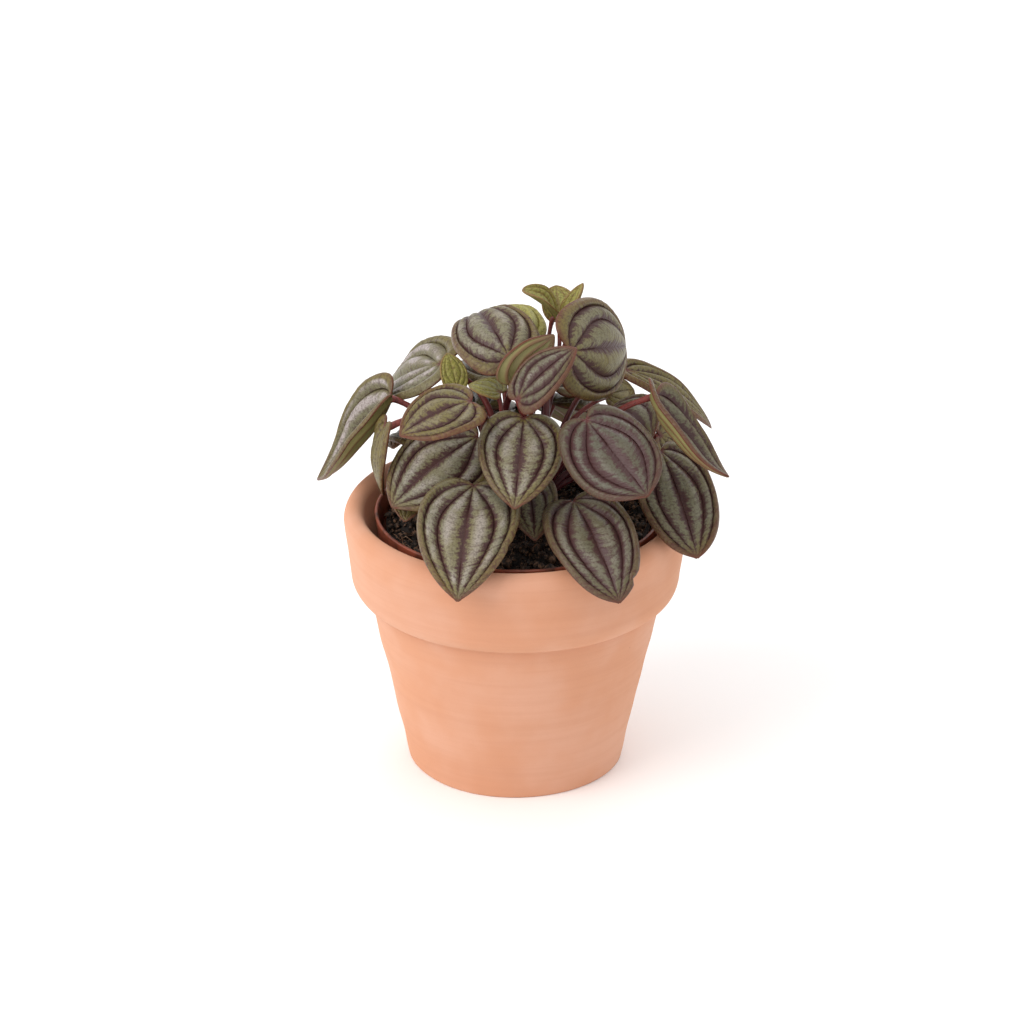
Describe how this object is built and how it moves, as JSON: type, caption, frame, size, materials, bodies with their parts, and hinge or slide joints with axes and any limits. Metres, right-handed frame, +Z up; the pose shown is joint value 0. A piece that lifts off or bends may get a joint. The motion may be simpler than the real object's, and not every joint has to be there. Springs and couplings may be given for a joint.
{
  "type": "potted peperomia",
  "caption": "Small quilted-leaf peperomia with striped silver-green leaves on red stalks, growing in a thin plastic grower's pot that stands in a thick terracotta pot.",
  "frame": {"origin": "on the surface the pot stands on, at the axis of the terracotta pot", "axes": "+Z up along the pot's axis; +Y away from the side shown in the picture; +X to the right in the picture"},
  "size_m": [0.131, 0.1264, 0.1541],
  "materials": {
    "terracotta": "matte unglazed fired clay",
    "nursery_plastic": "satin moulded plastic",
    "soil": "rough damp potting soil",
    "petiole": "smooth fleshy stalk",
    "leaf": "satin quilted leaf",
    "young_leaf": "satin young leaf"
  },
  "bodies": {
    "root": {"terracotta_pot": "terracotta", "nursery_pot": "nursery_plastic", "soil": "soil", "crown_and_petioles": "petiole", "leaf_01": "leaf", "leaf_02": "leaf", "leaf_03": "leaf", "leaf_04": "leaf", "leaf_05": "leaf", "leaf_06": "leaf", "leaf_07": "leaf", "leaf_08": "leaf", "leaf_09": "leaf", "leaf_10": "leaf", "leaf_11": "leaf", "leaf_12": "leaf", "leaf_13": "leaf", "leaf_14": "leaf", "leaf_15": "leaf", "leaf_16": "leaf", "leaf_17": "leaf", "leaf_18": "leaf", "leaf_19": "leaf", "leaf_20": "leaf", "leaf_21": "leaf", "leaf_22": "leaf", "leaf_23": "young_leaf", "leaf_24": "young_leaf", "leaf_25": "young_leaf", "leaf_26": "young_leaf", "leaf_27": "young_leaf", "leaf_28": "leaf", "leaf_29": "leaf", "leaf_30": "leaf", "leaf_31": "leaf", "leaf_32": "leaf", "leaf_33": "leaf", "leaf_34": "leaf"}
  },
  "joints": []
}
